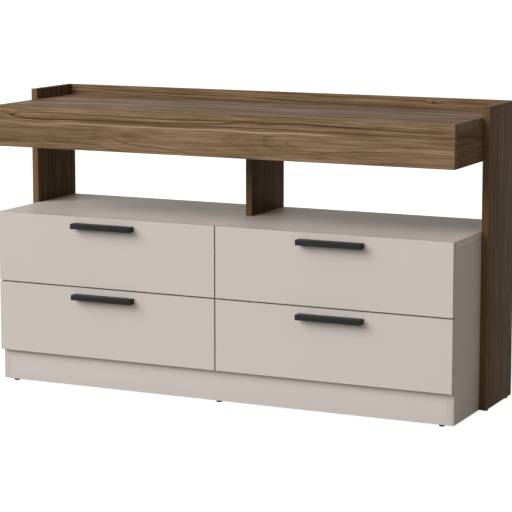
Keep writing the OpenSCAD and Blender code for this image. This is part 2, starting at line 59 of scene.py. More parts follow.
bl_info = {
    "name": "Chest of drawers",
    "version": (1, 0, 0),
    "blender": (4, 5, 0),
    "location": "3D View > Sidebar > Chest",
    "description": "Dresses the solids of a chest of drawers and lights them",
    "category": "Object",
}

MM = 0.001
DRAWERS = ("lower_left", "lower_right", "upper_left", "upper_right")
# Points this near a plane are on it, and points of a solid this near each other are one
NEAR, SAME = 0.01 * MM, 0.002 * MM
# Faces that meet at less than this are one flat face
FLAT_ANGLE = radians(0.2)
# A face whose normal is nearer an axis than this is on a flat of a cage, and not on a ball
FLAT = 0.9995
# Longest side of a cam: a longer solid of the fittings is a bolt
CAM_BOLT = 20 * MM
# A face of a glide that is higher than this is on its nail
GLIDE_TOP = 5.1 * MM
# Radius of the handles' edges
HANDLE_ROUND = 0.5 * MM
# Screws: sides of the head, core to shank, round of a pan head to its height, steps of a turn
SCREW_SIDES, SCREW_CORE, PAN_ROUND, THREAD_STEPS = 16, 0.76, 0.45, 8
# A machine screw's end is blunt and a wood screw's is sharp
BLUNT_END, SHARP_END = 0.7, 0.12
# Cross recess, to the head: length and breadth of its arms and its depth, and how it narrows
ARM_LENGTH, ARM_BREADTH, RECESS, RECESS_TAPER = 0.58, 0.12, 0.5, 0.5
# Points of a screw this near its end say how wide that end is
END_DEPTH = 0.3 * MM
CREAM_BOARDS = (
    "side_panel_left", "side_panel_right", "centre_partition", "carcass_top", "carcass_bottom",
    "front_plinth", "rear_plinth",
)


# Colour and node helpers

def linear(code):
    """The linear RGB of an sRGB hex colour."""
    values = [int(code[i:i + 2], 16) / 255 for i in (1, 3, 5)]
    return tuple(v / 12.92 if v <= 0.04045 else ((v + 0.055) / 1.055) ** 2.4 for v in values)


def rgba(colour):
    """A colour property or sRGB hex as a socket's four values."""
    return (*(linear(colour) if isinstance(colour, str) else colour), 1.0)


def waves(millimetres):
    """The scale of a pattern whose waves are this long."""
    return 1 / (millimetres * MM)


def stretch(length, breadth):
    """The scale of a pattern whose waves are this long along X and this broad, in mm."""
    return waves(length), waves(breadth), waves(breadth)


def ramp(start, slope):
    """What makes a LIMITED node rise from 0 at start, or under it where the slope is below 0."""
    return {"i1": slope, "i2": -slope * start}


def feed(node, **inputs):
    """Sets or links a node's inputs, by name, or by place with a key such as i0."""
    for key, value in inputs.items():
        place = int(key[1:]) if key[1:].isdigit() else key.replace("_", " ")
        socket = node.inputs[place]
        if isinstance(value, bpy.types.NodeSocket):
            node.id_data.links.new(value, socket)
        else:
            socket.default_value = value


def add(tree, kind, settings=None, out=0, **inputs):
    """Adds a shader node and returns one of its outputs."""
    node = tree.nodes.new("ShaderNode" + kind)
    for key, value in (settings or {}).items():
        setattr(node, key, value)
    feed(node, **inputs)
    return node.outputs[out] if node.outputs else node


SUM = {"operation": "ADD"}
LESS = {"operation": "SUBTRACT"}
TIMES = {"operation": "MULTIPLY"}
TIMES_ADD = {"operation": "MULTIPLY_ADD"}
LIMITED = {"operation": "MULTIPLY_ADD", "use_clamp": True}
LENGTH = {"operation": "LENGTH"}
COLOUR = {"data_type": "RGBA"}
TINT = {"data_type": "RGBA", "blend_type": "MULTIPLY"}
ONE_WAY = {"noise_dimensions": "1D"}


def surface(name, **settings):
    """A new material: its tree, and its shader with what is even all over already set."""
    material = bpy.data.materials.new(name)
    material.use_nodes = True
    tree = material.node_tree
    tree.nodes.clear()
    shader = add(tree, "BsdfPrincipled", **settings).node
    add(tree, "OutputMaterial", i0=shader.outputs[0])
    return material, tree, shader


# Materials

def cream_melamine(look, name, tone_and_painted_light=(1, 1, 1)):
    """Cream resin-coated chipboard: an even satin skin with a faint pressed grain."""
    material, tree, shader = surface(
        name, Roughness=0.5, IOR=1.5, Specular_IOR_Level=look.cream_gloss)
    place = add(tree, "TexCoord", out="Object")
    drift = add(tree, "TexNoise", Vector=place, Scale=waves(330), Detail=2.0)
    skin = add(tree, "TexNoise", Vector=place, Scale=waves(1.1), Detail=2.0)
    base = add(tree, "Mix", COLOUR, 2, i0=drift, i6=rgba(look.cream_shade), i7=rgba(look.cream))
    # The tint paints light or shade onto a copy of the board: the top board lighter and warmer,
    # the plinth darker
    base = add(tree, "Mix", TINT, 2, i0=1.0, i6=base, i7=(*tone_and_painted_light, 1.0))
    relief = add(tree, "Bump", Strength=1.0, Distance=0.03 * MM, Height=skin)
    feed(shader, Base_Color=base, Normal=relief)
    return material


def cream_edge(look, name, colour):
    """Cream plastic edge strip, a touch darker and smoother than the board's faces."""
    material, tree, shader = surface(
        name, Roughness=0.42, IOR=1.5, Specular_IOR_Level=look.cream_gloss)
    place = add(tree, "TexCoord", out="Object")
    skin = add(tree, "TexNoise", Vector=place, Scale=waves(0.7), Detail=1.0)
    base = add(tree, "Mix", COLOUR, 2, i0=skin, i6=rgba(look.cream), i7=rgba(colour))
    relief = add(tree, "Bump", Strength=1.0, Distance=0.02 * MM, Height=skin)
    feed(shader, Base_Color=base, Normal=relief)
    return material


# Turns of the coordinates that bring a board's grain to X, its width to Y and its depth to Z
GRAIN = {
    "flat_x": (0, 0, 0),
    "upright_x": (radians(-90), 0, 0),
    "side_z": (0, radians(90), 0),
    "side_y": (radians(-90), radians(90), 0),
}


# Walnut, in metres: how far the trunk's slow and quick bends move its rings, across the grain and
# into the board, and how far a knot pushes them
SLOW_BEND, QUICK_BEND, KNOT_PUSH = Vector((0, 0.04, 0.03)), Vector((0, 0.009, 0.006)), 0.005
# How much its fibres and broad clouds change its tone, and the tones of its three colours
FIBRE_TONE, CLOUD_TONE, TONE_STOPS = 0.58, 0.18, (0.38, 0.5, 0.62)
# How low a noise is where it makes a thin line or a pore, and how sharply that starts
LINE_LIMIT, PORE_LIMIT, LINE_SLOPE = 2.95 / 7, 2.7 / 7, 7
# How strongly the pores darken it, how far its fibres stand up, and how deep the pores are
PORE_DARK, FIBRE_RISE, PORE_DEPTH = 0.25, 0.3, 0.7
# A knot bends the rings over 40 mm along the grain and 14 mm across it. Its dark core starts at
# this much of the bend, and this sharply
KNOT_SIZE, KNOT_CORE = (waves(40), waves(14), 0), (0.875, 8)

# The shelf's front board, in metres along it: how its face nears the trunk's middle. It nears it
# fast in two places, so the rings show as two nests of arcs that open to the right
FASCIA_TRUNK = (
    (-0.67, 0.003), (-0.45, 0.004), (-0.36, 0.003), (-0.31, -0.002), (-0.27, -0.007),
    (-0.21, -0.010), (-0.10, -0.011), (0.0, -0.012), (0.03, -0.013), (0.095, -0.019),
    (0.136, -0.026), (0.18, -0.034), (0.21, -0.038), (0.30, -0.038), (0.45, -0.035),
    (0.67, -0.030),
)
# The arcs stay under this height, and fade over this much of it
ARC_TOP, ARC_FADE = 0.714, 0.006
# Its long streaks: points of the path (along, up), where it starts and ends, half width,
# strength and colour
FASCIA_STREAKS = (
    (((-0.67, 0.7160), (-0.49, 0.7150), (-0.40, 0.7165), (-0.25, 0.7157), (-0.11, 0.7163),
      (0.04, 0.7173), (0.13, 0.7152), (0.18, 0.7168), (0.34, 0.7163), (0.67, 0.7163)),
     -0.52, 0.36, 0.0024, 1.4, "#b89c80"),
    (((-0.67, 0.7500), (-0.645, 0.7430), (-0.607, 0.7320), (-0.575, 0.7275), (-0.53, 0.7250),
      (-0.41, 0.7272), (-0.26, 0.7285), (-0.11, 0.7300), (0.0, 0.7330), (0.10, 0.7405),
      (0.15, 0.7380), (0.21, 0.7415), (0.27, 0.7418), (0.33, 0.7390), (0.50, 0.7358),
      (0.58, 0.7340), (0.67, 0.7345)), -0.66, 0.7, 0.0028, 1.4, "#432e1d"),
    (((-0.67, 0.7560), (-0.50, 0.7440), (-0.36, 0.7400), (0.05, 0.7420), (0.15, 0.7480),
      (0.28, 0.7510), (0.47, 0.7440), (0.67, 0.7400)), -0.66, 0.7, 0.0016, 0.8, "#4d3724"),
    (((-0.67, 0.7290), (-0.50, 0.7215), (-0.30, 0.7225), (-0.11, 0.7239), (0.06, 0.7262),
      (0.24, 0.7267), (0.35, 0.7239), (0.50, 0.7213), (0.58, 0.7198), (0.67, 0.7200)),
     -0.25, 0.7, 0.0018, 1.0, "#4d3724"),
    (((-0.67, 0.7130), (-0.60, 0.7070), (-0.53, 0.7005), (-0.46, 0.6960), (-0.38, 0.6920),
      (0.67, 0.6900)), -0.7, -0.46, 0.0013, 0.8, "#4d3724"),
    (((-0.67, 0.6800), (-0.61, 0.6775), (-0.55, 0.6740), (-0.45, 0.6720), (-0.36, 0.6690),
      (0.67, 0.6650)), -0.7, -0.38, 0.0012, 0.7, "#4d3724"),
    (((-0.67, 0.6710), (-0.61, 0.6660), (-0.55, 0.6620), (-0.50, 0.6600), (-0.40, 0.6540),
      (0.67, 0.6500)), -0.7, -0.40, 0.0013, 0.8, "#4d3724"),
    (((-0.67, 0.7150), (-0.36, 0.7100), (-0.328, 0.6970), (-0.305, 0.6860), (-0.272, 0.6740),
      (-0.217, 0.6670), (-0.162, 0.6640), (-0.114, 0.6590), (0.67, 0.6500)),
     -0.36, -0.06, 0.0015, 1.4, "#4d3724"),
    (((-0.67, 0.6700), (0.0, 0.6950), (0.025, 0.6890), (0.058, 0.6790), (0.091, 0.6680),
      (0.15, 0.6600), (0.67, 0.6500)), 0.01, 0.18, 0.0014, 1.4, "#4d3724"),
    (((-0.67, 0.7000), (0.17, 0.6900), (0.203, 0.6735), (0.238, 0.6675), (0.29, 0.6690),
      (0.35, 0.6760), (0.50, 0.6820), (0.67, 0.6830)), 0.17, 0.62, 0.0014, 1.3, "#4d3724"),
)
PATH_END, PATH_LOW, PATH_HIGH = 0.7, 0.6, 0.8
# How fast a streak fades in and out along the board, how far the strands bend it, and the part
# of its strength that the clouds leave it
STREAK_FADE, STREAK_WAVER, STREAK_REST = 12.0, 2 * MM, 0.25


def follow(tree, along, points, low, high):
    """The height of a smooth path at a place along a board, from low to high."""
    start = add(tree, "Math", TIMES_ADD, i0=along, i1=0.5 / PATH_END, i2=0.5)
    curve = add(tree, "FloatCurve", i1=start)
    line = curve.node.mapping.curves[0]
    places = [((x + PATH_END) / (2 * PATH_END), (y - low) / (high - low)) for x, y in points]
    places = [(0.0, places[0][1])] + places + [(1.0, places[-1][1])]
    while len(line.points) < len(places):
        line.points.new(0.5, 0.5)
    for point, place in zip(line.points, places):
        point.location = place
    curve.node.mapping.update()
    return add(tree, "Math", TIMES_ADD, i0=curve, i1=high - low, i2=low)


def long_streaks(tree, base, along, up, strand, cloud):
    """Lays the front board's long streaks over its colour: each one is soft, waves with the
    strands and is broken up by the clouds."""
    for points, start, end, width, strength, colour in FASCIA_STREAKS:
        path = follow(tree, along, points, PATH_LOW, PATH_HIGH)
        away = add(tree, "Math", LESS, i0=up, i1=path)
        away = add(tree, "Math", TIMES_ADD, i0=strand, i1=STREAK_WAVER, i2=away)
        away = add(tree, "Math", {"operation": "ABSOLUTE"}, i0=away)
        near = add(tree, "Math", LIMITED, i0=away, **ramp(width, -1 / width))
        for limit in (ramp(start, STREAK_FADE), ramp(end, -STREAK_FADE)):
            fade = add(tree, "Math", LIMITED, i0=along, **limit)
            near = add(tree, "Math", TIMES, i0=near, i1=fade)
        patchy = add(tree, "Math", TIMES_ADD, i0=cloud, i1=strength, i2=STREAK_REST * strength)
        near = add(tree, "Math", {"operation": "MULTIPLY", "use_clamp": True}, i0=near, i1=patchy)
        base = add(tree, "Mix", COLOUR, 2, i0=near, i6=base, i7=rgba(colour))
    return base


def walnut(look, name, grain, heart, tilt, tone_and_painted_light, waver=1.0, sharp=0.5, bands=0.28,
           band_width=9, ring_depth=0.36, gloss=1.0, knot=None, fascia=False):
    """Walnut-print melamine, matt. The rings of a slightly tilted trunk, cut by the board's face,
    give long lines and pointed ovals, as in sawn walnut, with fine fibres and short dark pores.
    heart is the trunk's middle in the board's grain coordinates, and knot a place there."""
    material, tree, shader = surface(
        name, Roughness=0.6, IOR=1.45, Specular_IOR_Level=look.walnut_gloss * gloss)
    place = add(tree, "TexCoord", out="Object")
    turned = add(tree, "VectorRotate", {"rotation_type": "EULER_XYZ"}, Vector=place,
                 Rotation=GRAIN[grain])
    along, up, _ = add(tree, "SeparateXYZ", i0=turned).node.outputs
    # The trunk bends a little, and its rings aren't round
    slow = add(tree, "Mapping", i0=turned, i3=stretch(420, 150))
    slow = add(tree, "TexNoise", out="Color", Vector=slow, Scale=1.0, Detail=1.0)
    quick = add(tree, "Mapping", i0=turned, i3=stretch(130, 22))
    quick = add(tree, "TexNoise", out="Color", Vector=quick, Scale=1.0, Detail=2.0)
    moved = add(tree, "VectorMath", LESS, i0=turned, i1=heart)
    moved = add(tree, "VectorMath", TIMES_ADD, i0=slow, i1=SLOW_BEND * waver, i2=moved)
    moved = add(tree, "VectorMath", TIMES_ADD, i0=quick, i1=QUICK_BEND * waver, i2=moved)
    moved = add(tree, "VectorMath", TIMES_ADD, i0=along, i1=(0, 0, tilt), i2=moved)
    if fascia:
        trunk = follow(tree, along, FASCIA_TRUNK, -0.1, 0.1)
        below = add(tree, "Math", LIMITED, i0=up, **ramp(ARC_TOP, -1 / ARC_FADE))
        trunk = add(tree, "Math", TIMES, i0=trunk, i1=below)
        moved = add(tree, "VectorMath", TIMES_ADD, i0=trunk, i1=(0, 0, 1), i2=moved)
    ring = add(tree, "VectorMath", TIMES, i0=moved, i1=(0, 1, 1))
    radius = add(tree, "VectorMath", LENGTH, "Value", i0=ring)
    if knot:
        away = add(tree, "VectorMath", LESS, i0=turned, i1=knot)
        away = add(tree, "VectorMath", TIMES, i0=away, i1=KNOT_SIZE)
        away = add(tree, "VectorMath", LENGTH, "Value", i0=away)
        swirl = add(tree, "MapRange", {"interpolation_type": "SMOOTHSTEP"}, Value=away,
                    From_Min=1.0, From_Max=0.0)
        radius = add(tree, "Math", TIMES_ADD, i0=swirl, i1=KNOT_PUSH, i2=radius)
    rings = add(tree, "TexNoise", ONE_WAY, W=radius, Scale=waves(11), Detail=5.0, Roughness=0.7)
    lines = add(tree, "TexNoise", ONE_WAY, W=radius, Scale=waves(5), Detail=1.0)
    fibre = add(tree, "Mapping", i0=turned, i3=stretch(110, 3.6))
    fibre = add(tree, "TexNoise", Vector=fibre, Scale=1.0, Detail=3.0, Roughness=0.65)
    strand = add(tree, "Mapping", i0=turned, i3=stretch(260, band_width))
    strand = add(tree, "TexNoise", Vector=strand, Scale=1.0, Detail=2.0)
    cloud = add(tree, "Mapping", i0=turned, i3=stretch(260, 45))
    cloud = add(tree, "TexNoise", Vector=cloud, Scale=1.0, Detail=2.0)
    # Real pores are 0.2 mm wide, which would not show
    pores = add(tree, "Mapping", i0=turned, i3=stretch(14, 0.9))
    pores = add(tree, "TexNoise", Vector=pores, Scale=1.0, Detail=1.0)
    # A noise is 0.5 on average, and so is the tone that the four of them give
    spread = ring_depth + FIBRE_TONE + bands + CLOUD_TONE
    tone = add(tree, "Math", TIMES_ADD, i0=rings, i1=ring_depth, i2=(1 - spread) / 2)
    tone = add(tree, "Math", TIMES_ADD, i0=fibre, i1=FIBRE_TONE, i2=tone)
    tone = add(tree, "Math", TIMES_ADD, i0=strand, i1=bands, i2=tone)
    tone = add(tree, "Math", TIMES_ADD, i0=cloud, i1=CLOUD_TONE, i2=tone)
    base = add(tree, "ValToRGB", i0=tone)
    stops = base.node.color_ramp.elements
    stops.new(0.5)
    for stop, position, colour in zip(
            stops, TONE_STOPS, (look.walnut_mid, look.walnut, look.walnut_light)):
        stop.position, stop.color = position, rgba(colour)
    # Only the lowest parts of these two noises are thin lines and pores
    thin = add(tree, "Math", LIMITED, i0=lines, **ramp(LINE_LIMIT, -LINE_SLOPE))
    thin = add(tree, "Math", TIMES, i0=thin, i1=sharp)
    base = add(tree, "Mix", COLOUR, 2, i0=thin, i6=base, i7=rgba(look.walnut_dark))
    hole = add(tree, "Math", LIMITED, i0=pores, **ramp(PORE_LIMIT, -LINE_SLOPE))
    shown = add(tree, "Math", TIMES, i0=hole, i1=PORE_DARK)
    base = add(tree, "Mix", COLOUR, 2, i0=shown, i6=base, i7=rgba(look.walnut_dark))
    if fascia:
        base = long_streaks(tree, base, along, up, strand, cloud)
    if knot:
        core = add(tree, "Math", LIMITED, i0=swirl, **ramp(*KNOT_CORE))
        base = add(tree, "Mix", COLOUR, 2, i0=core, i6=base, i7=rgba("#2c1d12"))
    # The tint sets a board's tone, and on some boards paints shade or part of a sheen
    base = add(tree, "Mix", TINT, 2, i0=1.0, i6=base, i7=(*tone_and_painted_light, 1.0))
    height = add(tree, "Math", TIMES, i0=fibre, i1=FIBRE_RISE)
    height = add(tree, "Math", TIMES_ADD, i0=hole, i1=-PORE_DEPTH, i2=height)
    relief = add(tree, "Bump", Strength=1.0, Distance=0.05 * MM, Height=height)
    feed(shader, Base_Color=base, Normal=relief)
    return material


def walnut_edge(look, name, tone_and_painted_light):
    """Walnut-print plastic edge strip, matt, with straight fine lines along the edge."""
    material, tree, shader = surface(
        name, Roughness=0.55, IOR=1.45, Specular_IOR_Level=look.walnut_gloss)
    place = add(tree, "TexCoord", out="Object")
    lines = add(tree, "Mapping", i0=place, i3=stretch(3.3, 80))
    lines = add(tree, "TexNoise", Vector=lines, Scale=1.0, Detail=3.0, Roughness=0.6)
    base = add(tree, "Mix", COLOUR, 2, i0=lines, i6=rgba(look.walnut_mid), i7=rgba(look.walnut))
    # The tint sets a strip's tone, and on strips that lie in the shelf's shadow it paints shade
    base = add(tree, "Mix", TINT, 2, i0=1.0, i6=base, i7=(*tone_and_painted_light, 1.0))
    relief = add(tree, "Bump", Strength=1.0, Distance=0.04 * MM, Height=lines)
    feed(shader, Base_Color=base, Normal=relief)
    return material


# Roughness of the two sides, and from what sum of its noises, and how fast, the raw one lightens
LACQUER_ROUGH, RAW_ROUGH, RAW_LIGHTENS = 0.45, 0.8, (0.6, 1.25)


def hardboard(name, good_side):
    """Thin hardboard: one lacquered face, and a raw brown back with pressed fibres."""
    material, tree, shader = surface(name, IOR=1.5, Specular_IOR_Level=0.3)
    facing = add(tree, "TexCoord", out="Normal")
    place = facing.node.outputs["Object"]
    side = add(tree, "VectorMath", {"operation": "DOT_PRODUCT"}, "Value", i0=facing, i1=good_side)
    good = add(tree, "Math", {"operation": "GREATER_THAN"}, i0=side, i1=0.5)
    fibre = add(tree, "TexNoise", Vector=place, Scale=waves(2), Detail=4.0, Roughness=0.7)
    mottle = add(tree, "TexNoise", Vector=place, Scale=waves(17), Detail=3.0, Roughness=0.6)
    both = add(tree, "Math", SUM, i0=fibre, i1=mottle)
    both = add(tree, "Math", LIMITED, i0=both, **ramp(*RAW_LIGHTENS))
    raw = add(tree, "Mix", COLOUR, 2, i0=both, i6=rgba("#6d5138"), i7=rgba("#99774f"))
    lacquer = add(tree, "Mix", COLOUR, 2, i0=mottle, i6=rgba("#c9c1b9"), i7=rgba("#cfc8c0"))
    base = add(tree, "Mix", COLOUR, 2, i0=good, i6=raw, i7=lacquer)
    rough = add(tree, "Math", TIMES_ADD, i0=good, i1=LACQUER_ROUGH - RAW_ROUGH, i2=RAW_ROUGH)
    relief = add(tree, "Bump", Strength=1.0, Distance=0.08 * MM, Height=fibre)
    feed(shader, Base_Color=base, Roughness=rough, Normal=relief)
    return material


def black_coat(look):
    """Matt black powder-coated metal: fine orange peel that breaks up the highlight."""
    material, tree, shader = surface(
        "Matt_black_powder_coat", Roughness=0.5, IOR=1.5, Specular_IOR_Level=0.2)
    place = add(tree, "TexCoord", out="Object")
    peel = add(tree, "TexNoise", Vector=place, Scale=waves(0.6), Detail=2.0, Roughness=0.6)
    drift = add(tree, "TexNoise", Vector=place, Scale=waves(17), Detail=2.0)
    base = add(tree, "Mix", COLOUR, 2, i0=drift, i6=rgba("#131415"), i7=rgba(look.handle))
    relief = add(tree, "Bump", Strength=1.0, Distance=0.04 * MM, Height=peel)
    feed(shader, Base_Color=base, Normal=relief)
    return material


def black_plastic():
    """Moulded black polypropylene: slightly greyed and waxy."""
    material, tree, shader = surface(
        "Moulded_black_polypropylene", Roughness=0.42, IOR=1.49, Specular_IOR_Level=0.1)
    place = add(tree, "TexCoord", out="Object")
    spots = add(tree, "TexNoise", Vector=place, Scale=waves(1.4), Detail=2.0)
    base = add(tree, "Mix", COLOUR, 2, i0=spots, i6=rgba("#0d0e0f"), i7=rgba("#18191b"))
    relief = add(tree, "Bump", Strength=1.0, Distance=0.02 * MM, Height=spots)
    feed(shader, Base_Color=base, Normal=relief)
    return material


def metal(name, dark, light, patch_size, rough, spread, depth=0.0, strip=False):
    """Bare metal: patches of two close greys that are also a little smoother or duller. On
    rolled strip the patches are fine lines along the rolling."""
    material, tree, shader = surface(name, Metallic=1.0)
    place = add(tree, "TexCoord", out="Object")
    patch = add(tree, "TexNoise", Vector=place, Scale=waves(patch_size), Detail=3.0,
                Roughness=0.6)
    worn = patch
    if strip:
        # Real rolling lines are under 0.1 mm wide, which would not show
        lines = add(tree, "Mapping", i0=place, i3=(waves(0.45), waves(70), waves(0.45)))
        worn = add(tree, "TexNoise", Vector=lines, Scale=1.0, Detail=2.0, Roughness=0.6)
    base = add(tree, "Mix", COLOUR, 2, i0=patch, i6=rgba(dark), i7=rgba(light))
    dull = add(tree, "Math", TIMES_ADD, i0=worn, i1=spread, i2=rough)
    feed(shader, Base_Color=base, Roughness=dull)
    if depth:
        feed(shader, Normal=add(tree, "Bump", Strength=1.0, Distance=depth, Height=worn))
    return material


# Mesh helpers

def only(piece):
    """Leaves this one object selected and active."""
    if bpy.context.object and bpy.context.object.mode != "OBJECT":
        bpy.ops.object.mode_set(mode="OBJECT")
    bpy.ops.object.select_all(action="DESELECT")
    piece.select_set(True)
    bpy.context.view_layer.objects.active = piece


def edit(piece, kind):
    """Goes to edit mode with nothing selected, in vertex, edge or face mode."""
    only(piece)
    bpy.ops.object.mode_set(mode="EDIT")
    bpy.ops.mesh.select_mode(type=kind)
    bpy.ops.mesh.select_all(action="DESELECT")


def done():
    """Leaves edit mode."""
    bpy.ops.object.mode_set(mode="OBJECT")


def pick(piece, kind, wanted):
    """Selects the edges or faces that wanted says."""
    edit(piece, kind)
    mesh = bmesh.from_edit_mesh(piece.data)
    found = [item for item in (mesh.edges if kind == "EDGE" else mesh.faces) if wanted(item)]
    if not found:
        raise ValueError(f"{piece.name} has nothing to work on here")
    for item in found:
        item.select_set(True)
    mesh.select_flush_mode()
    bmesh.update_edit_mesh(piece.data)


def looks_down(face):
    """Whether a face looks straight down."""
    return face.normal.z < -0.9


def merged_copy(node):
    """A copy of a CAD node with its loose triangles merged and its flat faces whole."""
    piece = bpy.data.objects.new(node.title(), frame["nodes"][node].data.copy())
    bpy.context.scene.collection.objects.link(piece)
    piece.data.materials.clear()
    edit(piece, "VERT")
    bpy.ops.mesh.select_all(action="SELECT")
    bpy.ops.mesh.remove_doubles(threshold=SAME)
    bpy.ops.mesh.customdata_custom_splitnormals_clear()
    bpy.ops.mesh.dissolve_limited(angle_limit=FLAT_ANGLE)
    done()
    return piece


def on_planes(point, low, high):
    """The planes of a box that a point is on, each as its axis and side."""
    return {
        (axis, side) for axis in range(3) for side, bound in ((0, low), (1, high))
        if abs(point[axis] - bound[axis]) < NEAR
    }


def ease_edges(piece, width):
    """Rounds the outer straight edges of a board."""
    points = [v.co for v in piece.data.vertices]
    low = [min(p[i] for p in points) for i in range(3)]
    high = [max(p[i] for p in points) for i in range(3)]

    def outer(edge):
        shared = on_planes(edge.verts[0].co, low, high) & on_planes(edge.verts[1].co, low, high)
        return len(shared) == 2

    pick(piece, "EDGE", outer)
    bpy.ops.mesh.bevel(offset=width, segments=2, affect="EDGES", clamp_overlap=True)
    done()


def edge_strip(piece, axis, side, thickness, slot):
    """Cuts a strip of this thickness off an edge of a board and gives it a material slot."""
    points = [v.co for v in piece.data.vertices]
    bound = (min, max)[side](p[axis] for p in points)
    inward = 1 if side == 0 else -1
    plane = Vector((0, 0, 0))
    plane[axis] = bound + inward * thickness
    normal = Vector((0, 0, 0))
    normal[axis] = 1
    edit(piece, "FACE")
    bpy.ops.mesh.select_all(action="SELECT")
    bpy.ops.mesh.bisect(plane_co=plane, plane_no=normal)
    done()
    limit = thickness + NEAR
    for face in piece.data.polygons:
        if all(abs(piece.data.vertices[i].co[axis] - bound) < limit for i in face.vertices):
            face.material_index = slot


def stands_for(piece, node, materials, angle=30):
    """Gives a finished piece its materials, shades it smooth apart from edges over this angle,
    and puts it in the place of a CAD node, on its body."""
    for material in materials:
        piece.data.materials.append(material)
    only(piece)
    bpy.ops.object.shade_smooth_by_angle(angle=radians(angle))
    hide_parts(node)
    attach(piece, frame["nodes"][node]["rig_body"])


def board(node, materials, sizes, *strips):
    """A board with eased edges. Its first material is that of its faces, and each other one goes
    on a list of edges, each an axis and a side."""
    piece = merged_copy(node)
    ease_edges(piece, sizes.ease)
    for slot, edges in enumerate(strips, 1):
        for axis, side in edges:
            edge_strip(piece, axis, side, sizes.strip, slot)
    stands_for(piece, node, materials)


def solids_of(piece):
    """The separate solids of a mesh: the faces of each, its points and its box."""
    mesh = bmesh.new()
    mesh.from_mesh(piece.data)
    seen, found = set(), []
    for first in mesh.faces:
        if first in seen:
            continue
        seen.add(first)
        group, waiting = [], [first]
        while waiting:
            face = waiting.pop()
            group.append(face)
            for near in {other for edge in face.edges for other in edge.link_faces} - seen:
                seen.add(near)
                waiting.append(near)
        points = [corner.vert.co.copy() for face in group for corner in face.loops]
        low = Vector([min(p[axis] for p in points) for axis in range(3)])
        high = Vector([max(p[axis] for p in points) for axis in range(3)])
        found.append(([face.index for face in group], points, low, high))
    mesh.free()
    return found


def dress(node, material):
    """Gives a CAD node that keeps its own shape a better material."""
    solid = frame["nodes"][node]
    solid.data.materials.clear()
    solid.data.materials.append(material)


# Settings

def colour_setting(name, code, description):
    """A colour that a user can change, from its sRGB hex code."""
    return bpy.props.FloatVectorProperty(
        name=name, description=description, subtype="COLOR", default=linear(code), min=0, max=1)


class ChestColours(bpy.types.PropertyGroup):
    cream: colour_setting("Cream", "#ccc5c0", "Colour of the cream boards and drawer fronts")
    cream_shade: colour_setting(
        "Cream, darker patches", "#cac3be", "Faint darker drift in the cream boards")
    cream_edge: colour_setting(
        "Cream edge strips", "#bab1ab", "Colour of the strips on the cream boards' edges")
    # The strips in the gaps carry a painted shade, much darker than the other strips
    cream_gap_painted_shade: colour_setting(
        "Cream strips in gaps", "#8f8680", "Colour of the strips that face another drawer front")
    walnut: colour_setting("Walnut", "#80674d", "Main colour of the walnut boards")
    walnut_light: colour_setting(
        "Walnut, light", "#967b5f", "Lightest grain of the walnut boards")
    walnut_mid: colour_setting("Walnut, middle", "#69513a", "Darker grain of the walnut boards")
    walnut_dark: colour_setting(
        "Walnut, dark", "#453120", "Thin dark lines and pores of the walnut boards")
    handle: colour_setting("Handles", "#181a1b", "Colour of the handles")
    cream_gloss: bpy.props.FloatProperty(
        name="Cream gloss", description="How strongly the cream boards mirror light",
        subtype="FACTOR", default=0.1, min=0, max=1)
    walnut_gloss: bpy.props.FloatProperty(
        name="Walnut gloss", description="How strongly the walnut boards mirror light",
        subtype="FACTOR", default=0.025, min=0, max=1)


class ChestSizes(bpy.types.PropertyGroup):
    ease: bpy.props.FloatProperty(
        name="Eased edge", description="Radius of the boards' eased edges",
        subtype="DISTANCE", unit="LENGTH", default=0.5 * MM, min=0.1 * MM, max=1.5 * MM)
    strip: bpy.props.FloatProperty(
        name="Edge strip", description="Thickness of the strips on the boards' edges",
        subtype="DISTANCE", unit="LENGTH", default=1.0 * MM, min=0.3 * MM, max=2 * MM)


class ChestStudio(bpy.types.PropertyGroup):
    key: bpy.props.FloatProperty(
        name="Key light", description="Power of the large light at the front left",
        subtype="POWER", unit="POWER", default=7800.0, min=0, max=30000)
    front: bpy.props.FloatProperty(
        name="Front light", description="Power of the low light in front",
        subtype="POWER", unit="POWER", default=80.0, min=0, max=4000)
    ambient: bpy.props.FloatProperty(
        name="Ambient", description="Strength of the light that comes from all round",
        subtype="FACTOR", default=0.225, min=0, max=1)
    ambient_colour: colour_setting(
        "Ambient colour", "#fff0dc", "Colour of the light that comes from all round")
    floor: colour_setting("Floor", "#b4b2af", "Colour of the plain floor")
    floor_glow: bpy.props.FloatProperty(
        name="Floor glow", description="How far the floor is lifted to white where it is seen",
        subtype="FACTOR", default=0.93, min=0, max=1)


# Pieces

class CHEST_OT_cream_boards(bpy.types.Operator):
    """Carcass boards with eased edges and cream edge strips"""
    bl_idname = "chest.cream_boards"
    bl_label = "Cream boards"

    def execute(self, context):
        scene = context.scene
        look = scene.chest_colours
        faces = cream_melamine(look, "Cream_melamine_board")
        # The top board gets painted light, a little warmer and lighter than the fronts, and the
        # plinth painted shade, a little darker
        plinth = cream_melamine(look, "Cream_melamine_plinth_painted_shade", tone_and_painted_light=(0.95, 0.955, 0.965))
        lit_and_shaded_copies = {
            "carcass_top": cream_melamine(look, "Cream_melamine_top_painted_light", tone_and_painted_light=(1.16, 1.12, 1.09)),
            "front_plinth": plinth,
        }
        strips = cream_edge(look, "Cream_ABS_edge_strip", look.cream_edge)
        for node in CREAM_BOARDS:
            # A plinth stands on its strip, and the other boards have theirs in front. Those of
            # the sides show only beside the plinth, and take its painted shade
            edge = (2, 0) if "plinth" in node else (1, 0)
            strip = plinth if "side_panel" in node else strips
            board(node, (lit_and_shaded_copies.get(node, faces), strip), scene.chest_sizes, [edge])
        return {"FINISHED"}


